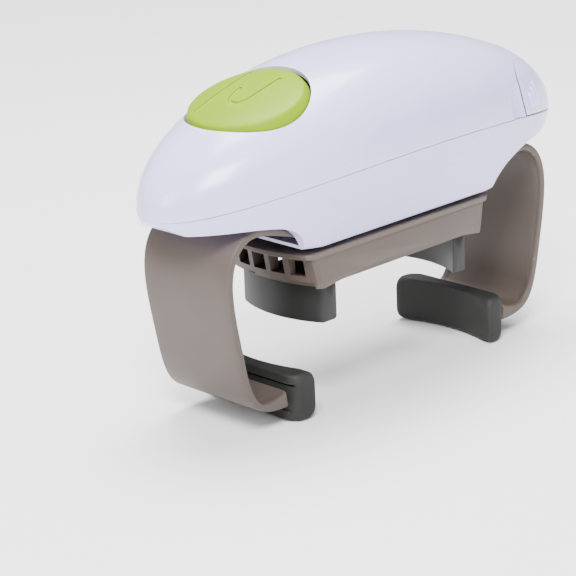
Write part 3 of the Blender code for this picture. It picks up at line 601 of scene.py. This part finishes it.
# ------------------------------------------------------------------ carriage and jaws
def bowed(half_x, half_y, radius, steps=28, corner=1.6):
    """A rectangle with ends bowed along a circle and rounded corners."""
    centre = half_x - radius
    inner = half_y - corner
    points = []
    reach = math.asin(inner / (radius - 0.3))
    for sign in (1, -1):
        arc = [(sign * (centre + radius * math.cos(a)), sign * radius * math.sin(a))
               for a in (-reach + 2 * reach * i / steps for i in range(steps + 1))]
        end_x = centre + math.sqrt(radius ** 2 - half_y ** 2)
        for t in (0.25, 0.6, 1.0):
            points.append((sign * (end_x - corner * (1.25 - t)), -sign * (half_y - corner * 0.5 * t * t)))
        points += arc
        for t in (1.0, 0.6, 0.25):
            points.append((sign * (end_x - corner * (1.25 - t)), sign * (half_y - corner * 0.5 * t * t)))
    return points


def foot_arch(side):
    """Space below the shallow arch along the bottom of each long side."""
    loop = [(x, 52.1 - 0.00178 * x * x) for x in range(-44, 45, 2)] + [(44.5, 40.0), (-44.5, 40.0)]
    low, high = sorted((side * 20.0, side * 40.0))
    return extrude(loop, low, high, "Y")


def make_carriage():
    """The bowed shell with a flange, end windows, arches along both sides and the hub."""
    levels = [(48.52, bowed(50.2, 25.7, 63.0)), (48.8, bowed(50.5, 25.95, 63.4)),
              (51.3, bowed(51.0, 26.0, 64.0)), (59.6, bowed(52.5, 25.45, 66.8)),
              (60.1, bowed(52.7, 25.4, 67.0)), (60.35, bowed(53.4, 25.3, 68.0)),
              (60.6, bowed(54.4, 25.25, 69.4)), (60.9, bowed(54.8, 25.25, 69.8)),
              (62.3, bowed(54.95, 25.25, 70.0)), (62.62, bowed(54.7, 25.05, 69.8)),
              (62.7, bowed(54.3, 24.75, 69.4))]
    body = loft([[(x, y, z) for x, y in loop] for z, loop in levels], flat=True)
    body = carve(body, block(-47.0, 47.0, -22.6, 22.6, 45.0, 60.2))
    body = carve(body, block(-60.0, 60.0, -23.5, 23.5, 45.0, 51.0))
    windows = []
    for low, high in ((44.0, 60.0), (-60.0, -44.0)):
        for y in (WINDOW_STEP * k for k in range(-2, 3)):
            windows.append(block(low, high, y - WINDOW_HALF, y + WINDOW_HALF, 53.2, 59.6))
    for sx in (1, -1):
        for sy in (1, -1):
            box = sorted((sx * 50.4, sx * 60.0)) + sorted((sy * 21.9, sy * 24.3))
            windows.append(block(*box, 51.6, 58.6))
    body = carve(body, *windows)
    body = carve(body, foot_arch(1), foot_arch(-1))
    body = carve(body, rod(0, 0, 8.0, 61.0, 80.6), join=True)
    body = carve(body, rod(0, 0, 3.75, 55.0, 85.0))
    piece(body, "carriage_shell", "taupe_matte_plastic", "carriage", ("carriage_body",), sharp=30.0)


def make_carriage_base():
    """The plate under the carriage, with the jaws' slots, the spindle's recess and two screw holes."""
    rows = [(48.5, bowed(47.9, 22.9, 60.0)), (48.7, bowed(48.2, 23.1, 60.4)),
            (50.95, bowed(48.2, 23.1, 60.4))]
    base = loft([[(x, y, z) for x, y in loop] for z, loop in rows], flat=True)
    base = carve(base, block(15.5, 60.0, -15.2, -6.6, 40.0, 60.0),
                 block(-60.0, -15.5, 6.6, 15.2, 40.0, 60.0), rod(0, 0, 11.3, 40.0, 49.8))
    for x, y in ((20.0, 19.5), (-20.0, -19.5)):
        base = carve(base, rod(x, y, 1.6, 40.0, 60.0), rod(x, y, 2.9, 40.0, 50.1))
    piece(base, "carriage_base_plate", "taupe_matte_plastic", "carriage", ("carriage_base",), sharp=30.0)


def make_jaw(side, sign):
    """A lid jaw, round about the turning axis, with the neck that goes up into the carriage."""
    half = JAW_HALF
    rings = []
    spots = [(-half, 1.5), (-half + 0.12, 0.9), (-half + 0.42, 0.4), (-half + 0.9, 0.1)]
    spots += [(-half + 1.6 + (2 * half - 3.2) * i / 48, 0.0) for i in range(49)]
    spots += [(-y, s) for y, s in reversed(spots[:4])]
    for y, shrink in spots:
        inner = math.sqrt(JAW_INNER_R ** 2 - y * y) + shrink * 0.5
        outer = math.sqrt(JAW_OUTER_R ** 2 - y * y) - shrink * 0.5
        rings.append([(x, y, z) for x, z in
                      fillet_box(inner, outer, JAW_LOW + shrink * 0.6, JAW_HIGH - shrink * 0.2, 1.1, 4)])
    jaw = carve(loft(rings), block(38.8, 43.2, -14.6, -7.4, 46.0, 53.2), join=True)
    if sign < 0:
        jaw.transform(Matrix.Rotation(math.pi, 4, "Z"))
    piece(jaw, side + "_lid_jaw_grip", "dark_grey_plastic", side + "_jaw_group",
          (side + "_lid_jaw",), sharp=40.0)


# ------------------------------------------------------------------ stage
def make_stage():
    bm = bmesh.new()
    bmesh.ops.create_grid(bm, x_segments=8, y_segments=8, size=6.0)
    mesh = bpy.data.meshes.new("studio_floor")
    bm.to_mesh(mesh)
    bm.free()
    floor = bpy.data.objects.new("studio_floor", mesh)
    bpy.context.scene.collection.objects.link(floor)
    floor.location.z = -0.0004
    n = Nodes("studio_floor_paint")
    n.link(n.mix(n.noise(3.0), (0.86, 0.86, 0.86), (0.88, 0.88, 0.88)), n.shader.inputs["Base Color"])
    n.put("Roughness", 0.7)
    mesh.materials.append(n.material)
    world = bpy.data.worlds.new("studio_world")
    bpy.context.scene.world = world
    world.use_nodes = True
    back = world.node_tree.nodes["Background"]
    back.inputs["Color"].default_value = (0.94, 0.95, 1.0, 1.0)
    back.inputs["Strength"].default_value = 0.6
    lights = (("key", (-0.75, -0.65, 1.25), 0.6, 44.0), ("top", (0.3, 0.3, 1.4), 0.9, 52.0),
              ("left", (-1.2, 0.35, 0.75), 0.6, 9.0), ("front_fill", (0.3, -1.4, 0.35), 0.8, 4.0))
    for name, place, size, power in lights:
        data = bpy.data.lights.new(name, "AREA")
        data.size = size
        data.energy = power
        lamp = bpy.data.objects.new(name, data)
        bpy.context.scene.collection.objects.link(lamp)
        lamp.location = place
        aim = Vector((0.0, 0.0, 0.07)) - Vector(place)
        lamp.rotation_euler = aim.to_track_quat("-Z", "Y").to_euler()


def make_camera():
    data = bpy.data.cameras.new("camera")
    data.lens = 137.46
    data.sensor_width = 36.0
    data.dof.use_dof = False
    camera = bpy.data.objects.new("camera", data)
    bpy.context.scene.collection.objects.link(camera)
    back = Vector((-0.6614, -0.6790, 0.3186)).normalized()
    up = Vector((0.2510, 0.1999, 0.9471))
    up = (up - back * up.dot(back)).normalized()
    right = up.cross(back)
    turn = Matrix((right, up, back)).transposed().to_4x4()
    camera.matrix_world = Matrix.Translation(CAMERA_AT) @ turn
    bpy.context.scene.camera = camera


make_camera()
make_stage()
for node in frame["nodes"]:
    obj = bpy.data.objects.get(node)
    slot = next(s["material_slot"] for s in frame["record"]["subparts"] if s["node"] == node)
    if obj is not None and obj.type == "MESH":
        obj.data.materials.clear()
        obj.data.materials.append(BY_SLOT[slot])
make_upper()
make_door()
make_lower()
make_seam_lip()
make_button()
for label, direction in (("left", -1), ("right", 1)):
    make_arm(label, direction)
    make_pad(label, direction)
    make_jaw(label, direction)
make_carriage()
make_carriage_base()
